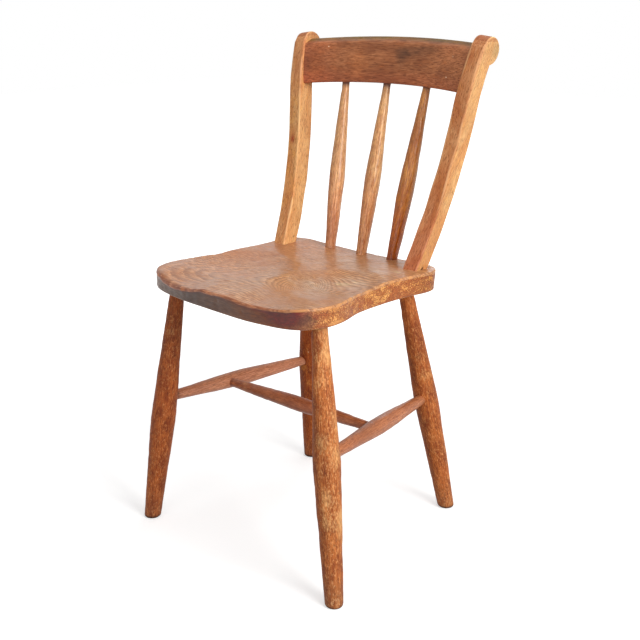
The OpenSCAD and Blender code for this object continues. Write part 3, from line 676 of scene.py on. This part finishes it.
# The front and rear of a post at each height, with the rolled head's circle merged in
def postFaces(s):
    p = postShape
    headY = postRun(headAt) + p["headSet"]
    half = np.sqrt(np.clip(p["headRadius"] ** 2 - (s - headAt) ** 2, 0, None))
    corner = headAt + p["headRise"]
    cornerY = postRun(corner)
    shoulder = headAt + p["headRadius"] * math.sin(p["shoulder"])
    shoulderY = headY + p["headRadius"] * math.cos(p["shoulder"])
    slant = cornerY + (shoulderY - cornerY) * (s - corner) / (shoulder - corner)
    front = np.where(s > shoulder, headY - half, np.where(s > corner, slant, postRun(s)))
    plainRear = np.where(s < headAt, postRun(s) + p["depth"], 0)
    inHead = np.abs(s - headAt) < p["headRadius"]
    return front, np.where(inHead, np.maximum(plainRear, headY + half), plainRear)


# Shortest distance from points in a plane to a closed line of points
def lineDistance(points, line):
    flat, step = points.reshape(-1, 1, 2), np.roll(line, -1, 0) - line
    squares = np.maximum((step ** 2).sum(1), 1e-12)
    t = np.clip(((flat - line) * step).sum(-1) / squares, 0, 1)
    gap = np.linalg.norm(flat - line - t[..., None] * step, axis=-1).min(1)
    return gap.reshape(points.shape[:-1])


# A post: level bands stacked up the side profile. Its half thickness is w/2 - r + sqrt(r^2 - (r-d)^2)
# at a distance d under r from the profile's edge, so that every arris is rounded by r
def makePost(node, hand, seed, frontTint, marks):
    p = postShape
    shank = np.linspace(-0.002, headAt - p["headRadius"], p["shankRows"])
    bend = np.linspace(-math.pi / 2, math.pi / 2 - 0.05, p["headRows"])[1:]
    s = np.concatenate([shank, headAt + p["headRadius"] * np.sin(bend)])
    front, rear = postFaces(s)
    below = np.array([-0.02])
    lowFront, lowRear = postRun(below * 0), postRun(below * 0) + p["depth"]
    outline = np.concatenate([np.stack([lowFront, below], -1), np.stack([front, s], -1),
                              np.stack([rear, s], -1)[::-1], np.stack([lowRear, below], -1)])
    u = (1 - np.cos(np.linspace(0, math.pi, p["acrossCount"]))) / 2
    y = front[:, None] + (rear - front)[:, None] * u[None]
    plane = np.stack([y, np.broadcast_to(s[:, None], y.shape)], -1)
    inside = lineDistance(plane, outline)
    spots = np.concatenate([plane, np.zeros(plane.shape[:2] + (1,))], -1)
    arris = p["arris"] + 0.0007 * waves(spots, seed, 0.05)
    half = p["width"] / 2 - arris + np.sqrt(arris ** 2 - np.clip(arris - inside, 0, None) ** 2)
    band = np.linspace(-1, 1, p["bandCount"] + 2)[None, 1:-1]

    # Each ring goes across the front, back along one side, across the rear and forward along the other
    def around(frontPart, sidePart, rearPart, farSign=1):
        return np.concatenate([frontPart, sidePart, rearPart, farSign * sidePart[:, ::-1]], 1)

    across = around(half[:, :1] * band, half, half[:, -1:] * -band, -1)
    back = around(front[:, None] + 0 * band, y, rear[:, None] + 0 * band)
    local = np.stack([across, back, np.broadcast_to(s[:, None], across.shape)], -1)
    bandEdge = bell(1 - np.abs(band), 0.1) + 0 * s[:, None]
    edgeNear = around(bandEdge, bell(inside, 0.0016), bandEdge)
    onFront = around(1 + 0 * band, ease(-u, -0.12, 0)[None], 0 * band)
    onOuter = around(band, 1 + 0 * u[None], -band, -1)
    local[..., 0] += p["uneven"] * waves(local, seed + 1, 0.05) * np.sign(across)
    local[..., 1] += p["uneven"] * waves(local, seed + 2, 0.06)
    if hand < 0:
        # the left post mirrors the right one, so its rings run the other way round
        local, edgeNear, onFront, onOuter = (part[:, ::-1] for part in (local, edgeNear, onFront, onOuter))
    reach = local[..., 0] + p["width"] / 2
    x = hand * (postLow[0] + reach * math.cos(p["splay"]) + local[..., 2] * math.sin(p["splay"]))
    z = seatTop + local[..., 2] * math.cos(p["splay"]) - reach * math.sin(p["splay"])
    rings = np.stack([x, postLow[1] + local[..., 1], z], -1)
    up = local[..., 2]
    wear = 0.06 + 0.1 * waves(rings, seed + 3, 0.06) + edgeNear * (0.7 + 0.25 * waves(rings, seed + 4, 0.04))
    grimeAndShade = 0.1 * waves(rings, seed + 5, 0.1) - 0.08 + 0.55 * bell(up, 0.004)
    headY = postRun(headAt) + p["headSet"]
    ear = bell(np.hypot(local[..., 1] - headY - p["earSet"], up - headAt), p["earWidth"])
    endGrain = np.clip(1.3 * ear * (1 - np.abs(onOuter) ** 4), 0, 1) + 0.5 * (up > headAt + p["earWidth"])
    tint = tintOf(
        (onFront * ease(-up, -0.14, -0.03), (-0.08, -0.15, -0.1)),
        (ear, (-0.28, -0.16, -0.06)), (waves(rings, seed + 6, 0.09), (0.05, 0.05, 0.04)),
        (onFront, frontTint),
        (onFront * ease(up, 0.22, 0.3) * (hand < 0), (-0.12, -0.24, -0.18)),
        (np.clip(-onOuter, 0, 1) ** 4 * ease(up, 0.04, 0.16) * (hand < 0), (-0.08, -0.13, -0.12)))
    behind = np.stack([local[..., 0], local[..., 1] - postRun(up), up], -1)
    for spot, width, kind, amount in marks:
        stretched = (behind - np.array(spot)) * np.array([1, 1, 0.6])
        mark = amount * bell(np.linalg.norm(stretched, axis=-1), width)
        if kind == "knot":
            tint = np.clip(tint - mark[..., None] * np.array([0.35, 0.62, 0.6]), 0.05, None)
        else:
            grimeAndShade = grimeAndShade + mark
    straight = np.stack([local[..., 0], local[..., 1] - 0.32 * up, up], -1)
    layers = dict(plainLayers, grain=straight + 1.7 * seed, rings=ringField(straight, postRings, seed + 7),
                  wear=wear, grimeAndShade=grimeAndShade, tint=tint, endGrain=endGrain)
    fitPiece(closedSkin(node + "_wood", rings, layers, woods["postBeech"]), node)


# marks: place across, behind the front and up along the post, width, kind (knot or dirt) and amount
leftMarks = (
    ((0.002, 0.0, 0.177), 0.0044, "knot", 1.3), ((-0.013, 0.022, 0.010), 0.0018, "dirt", 1.2),
    ((-0.013, 0.012, 0.08), 0.0012, "dirt", 0.9), ((-0.013, 0.02, 0.19), 0.0013, "dirt", 0.9))
rightMarks = (
    ((0.013, 0.015, 0.004), 0.0024, "dirt", 1.1), ((0.013, 0.013, 0.014), 0.007, "dirt", 0.36),
    ((0.0, 0.0, 0.055), 0.0014, "dirt", 0.8))
makePost("back_post_left", -1, 401, (0.06, 0.0, -0.04), leftMarks)
makePost("back_post_right", 1, 421, (-0.2, -0.38, -0.38), rightMarks)
print("back posts made")


railHigh = np.array(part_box("crest_rail")[1])
railShape = dict(
    height=0.0755, thickness=0.020, bow=0.021, arch=0.0063, lean=math.radians(9.5), roll=0.008, rollPower=3.5,
    edge=0.009, postGap=0.0012, uneven=((0.0003, 0.06), (0.0001, 0.015)), columns=120, rows=220)
railRings = dict(
    pith=(-0.03, -0.16), middle=0.04, bow=0.3, slope=0.03, stretch=0.1, wander=0.0008, spacing=0.0032)
# marks on the rail's face: place across, height, half width, half height and amount; the scratch is
# its two ends across, height and width
railMarks = dict(
    stains=((-0.035, 0.056, 0.05, 0.014, 0.46), (0.055, 0.052, 0.05, 0.014, 0.54),
            (0.03, 0.030, 0.016, 0.022, 0.46), (-0.09, 0.048, 0.02, 0.012, 0.3),
            (0.1, 0.060, 0.04, 0.008, 0.3)),
    chips=((-0.122, 0.0595, 0.0016, 0.0012, 1.1), (0.137, 0.0515, 0.0016, 0.0012, 1.1),
           (0.13, 0.02, 0.0016, 0.0012, 1.1)),
    palePatch=(-0.055, 0.026, 0.018, 0.022, 1.0), endPatch=(-0.142, 0.03, 0.012, 0.03, 1.0),
    scratch=(0.02, 0.12, 0.0335, 0.0007))


# How far the rail's front has moved back at a height above its lower edge: a lean plus a late curl
def railFront(up):
    r = railShape
    return up * math.tan(r["lean"]) + r["roll"] * (up / r["height"]) ** r["rollPower"]


# A closed outline sampled evenly, then averaged with its neighbours so that its corners turn round
def softOutline(corners, count, passes):
    closed = np.concatenate([corners, corners[:1]])
    run = np.concatenate([[0], np.cumsum(np.linalg.norm(np.diff(closed, axis=0), axis=1))])
    even = np.linspace(0, run[-1], count, endpoint=False)
    line = np.stack([np.interp(even, run, closed[:, k]) for k in range(2)], -1)
    for _ in range(passes):
        line = (np.roll(line, 1, 0) + 2 * line + np.roll(line, -1, 0)) / 4
    return line


# The rail: its section carried round a tipped circle, from just inside one post to the other
def makeRail():
    r = railShape
    up = np.linspace(0, r["height"] - r["edge"], 12)
    topFront = [railFront(r["height"]) + r["edge"], r["height"] - r["edge"] / 3]
    ridge = [railFront(r["height"]) + 0.7 * r["thickness"], r["height"]]
    back = np.linspace(r["height"] - r["edge"] / 2, 0, 12)
    corners = np.concatenate([np.stack([railFront(up), up], -1), [topFront, ridge],
                              np.stack([railFront(back) + r["thickness"], back], -1)])
    section = softOutline(corners, r["columns"], 5)[::-1]
    tip = math.atan(r["arch"] / r["bow"])
    frontZ = railHigh[2] - r["height"]
    splay = math.tan(postShape["splay"])
    endX = postLow[0] + (frontZ - seatTop) * splay
    ringBow = r["bow"] / math.cos(tip)
    ringRadius = (endX ** 2 + ringBow ** 2) / (2 * ringBow)
    frontY = railHigh[1] - railFront(r["height"] - r["edge"] / 2) - r["thickness"]
    outward = ringRadius + section[:, 0] * math.cos(tip) + section[:, 1] * math.sin(tip)
    lift = -section[:, 0] * math.sin(tip) + section[:, 1] * math.cos(tip)

    # The section carried to an angle along the tipped circle
    def carried(angle):
        flat = outward * np.cos(angle) - ringRadius
        return np.stack([outward * np.sin(angle), frontY + flat * math.cos(tip) - lift * math.sin(tip),
                         frontZ + flat * math.sin(tip) + lift * math.cos(tip)], -1)

    ends = np.full(len(section), endX / ringRadius)
    for _ in range(4):
        ends = np.arcsin((postLow[0] + (carried(ends)[:, 2] - seatTop) * splay + r["postGap"]) / outward)
    rings = carried(ends[None] * np.linspace(-1, 1, r["rows"])[:, None])
    rings[..., 1] += roughness(rings, 501, *r["uneven"])
    x = rings[..., 0]
    height = np.broadcast_to(section[:, 1][None], x.shape)
    inFront = (section[:, 0] < railFront(np.clip(section[:, 1], 0, None)) + 0.005)[None]
    grain = np.stack([height, rings[..., 1], x], -1)

    # A mark: its amount times the bells of the distances across and up, in front only
    def faceMark(place, up, width, tall, amount):
        return amount * inFront * np.exp(-((x - place) / width) ** 2 - ((height - up) / tall) ** 2)

    wear = 0.5 * ease(height, 0.062, 0.074) + 0.12 * waves(rings, 503, 0.06)
    grimeAndShade = 0.1 * waves(rings, 504, 0.05) - 0.05 + sum(faceMark(*stain) for stain in railMarks["stains"])
    chip = sum(faceMark(*mark) for mark in railMarks["chips"])
    left, right, up0, width = railMarks["scratch"]
    scratch = inFront * ease(x, left, left + 0.02) * ease(-x, -right, 0.03 - right) * bell(height - up0, width)
    redder = inFront * (ease(-x, 0.08, 0.16) + ease(-height, -0.03, -0.006))
    tint = tintOf(
        (redder, (0.0, -0.14, -0.12)),
        (faceMark(*railMarks["palePatch"]), (0.36, 0.34, 0.2)),
        (faceMark(*railMarks["endPatch"]), (0.24, 0.2, 0.08)),
        (inFront * ease(x, 0.05, 0.1), (0.2, 0.2, 0.18)), (scratch, (0.35, 0.35, 0.3)),
        (ease(height, 0.066, 0.073), (-0.46, -0.26, -0.5)),
        (waves(rings, 505, 0.06), (0.06, 0.05, 0.04)))
    layers = dict(plainLayers, grain=grain + 5.1, rings=ringField(grain, railRings, 506), wear=wear,
                  grimeAndShade=grimeAndShade, tint=tint, chip=chip)
    fitPiece(closedSkin("crest_rail_wood", rings, layers, woods["railBeech"]), "crest_rail")


makeRail()
print("rail made")


studio = dict(
    azimuth=40.91, elevation=17.56, distance=1.607, aim=(0.0167, 0.0, 0.3609), lens=55.51, shiftY=-0.0019,
    worldLight=0.32, floorSize=8.0, floorShade=0.4, seenShade=0.8, floorGlow=0.5, glowFrom=0.4, glowTo=1.4)
# each lamp: where it is, where it points, how wide it is and its power
lamps = dict(keyLamp=((2.2, -0.3, 1.4), (0, 0, 0.45), 1.4, 50.0),
             fillLamp=((0.7, -2.5, 1.1), (0, 0, 0.5), 1.8, 13.5),
             topLamp=((0.3, 0.4, 2.6), (0, 0, 0.4), 1.6, 13.0),
             backLamp=((-1.2, 2.7, 1.4), (0.05, 0, 0.45), 0.9, 5.5))


# Mixes in a second shader where the camera, or a mirror-like or clear surface, sees this one
def seenShader(tree, plain, seen):
    path = addNode(tree, "ShaderNodeLightPath").outputs
    glossy = mathOf(tree, "MAXIMUM", path["Is Glossy Ray"], path["Is Transmission Ray"])
    either = mathOf(tree, "MAXIMUM", path["Is Camera Ray"], glossy)
    return addNode(tree, "ShaderNodeMixShader", enumerate((either, plain, seen))).outputs[0]


# The world: soft light for the object, plain white where it is seen
def makeWorld():
    world = bpy.data.worlds.new("studioWhite")
    bpy.context.scene.world = world
    tree = emptyTree(world)
    soft, white = (addNode(tree, "ShaderNodeBackground", {"Color": (1, 1, 1, 1), "Strength": light}).outputs[0]
                   for light in (studio["worldLight"], 1.0))
    addNode(tree, "ShaderNodeOutputWorld", {"Surface": seenShader(tree, soft, white)})


# The floor: matt and pale; to the camera it also glows, more so away from the middle, so that only
# shadows fall below white
def makeFloor():
    size = studio["floorSize"]
    mesh = bpy.data.meshes.new("floor")
    corners = [(-size, -size, 0), (size, -size, 0), (size, size, 0), (-size, size, 0)]
    mesh.from_pydata(corners, [], [(0, 1, 2, 3)])
    material = bpy.data.materials.new("paleFloor")
    tree = emptyTree(material)
    matt, seen = (addNode(tree, "ShaderNodeBsdfDiffuse", {"Color": (shade,) * 3 + (1,)}).outputs[0]
                  for shade in (studio["floorShade"], studio["seenShade"]))
    place = addNode(tree, "ShaderNodeTexCoord").outputs["Object"]
    reach = addNode(tree, "ShaderNodeVectorMath", {0: place}, operation="LENGTH").outputs["Value"]
    strength = maskOf(tree, reach, studio["glowFrom"], studio["glowTo"], studio["floorGlow"], 1.0)
    glow = addNode(tree, "ShaderNodeEmission", {"Strength": strength}).outputs[0]
    both = addNode(tree, "ShaderNodeAddShader", enumerate((seen, glow))).outputs[0]
    addNode(tree, "ShaderNodeOutputMaterial", {"Surface": seenShader(tree, matt, both)})
    mesh.materials.append(material)
    addObject("floor", mesh)


def addLamp(name, place, aim, size, power):
    lamp = bpy.data.lights.new(name, "AREA")
    lamp.shape, lamp.size, lamp.energy = "DISK", size, power
    holder = addObject(name, lamp)
    holder.location = place
    holder.rotation_euler = (Vector(aim) - Vector(place)).to_track_quat("-Z", "Y").to_euler()


# The camera: out from the aim by its azimuth, elevation and distance, and turned back to it
def makeCamera():
    azimuth, elevation = math.radians(studio["azimuth"]), math.radians(studio["elevation"])
    back = Vector((math.sin(azimuth) * math.cos(elevation), -math.cos(azimuth) * math.cos(elevation),
                   math.sin(elevation)))
    data = bpy.data.cameras.new("camera")
    data.lens, data.sensor_width = studio["lens"], 36.0
    data.shift_y, data.clip_start = studio["shiftY"], 0.05
    camera = addObject("camera", data)
    camera.location = Vector(studio["aim"]) + back * studio["distance"]
    camera.rotation_euler = (-back).to_track_quat("-Z", "Y").to_euler()
    bpy.context.scene.camera = camera


makeWorld()
makeFloor()
for name, lamp in lamps.items():
    addLamp(name, *lamp)
makeCamera()
bpy.context.scene.view_settings.view_transform = "Standard"
print("studio made")

bpy.context.view_layer.update()
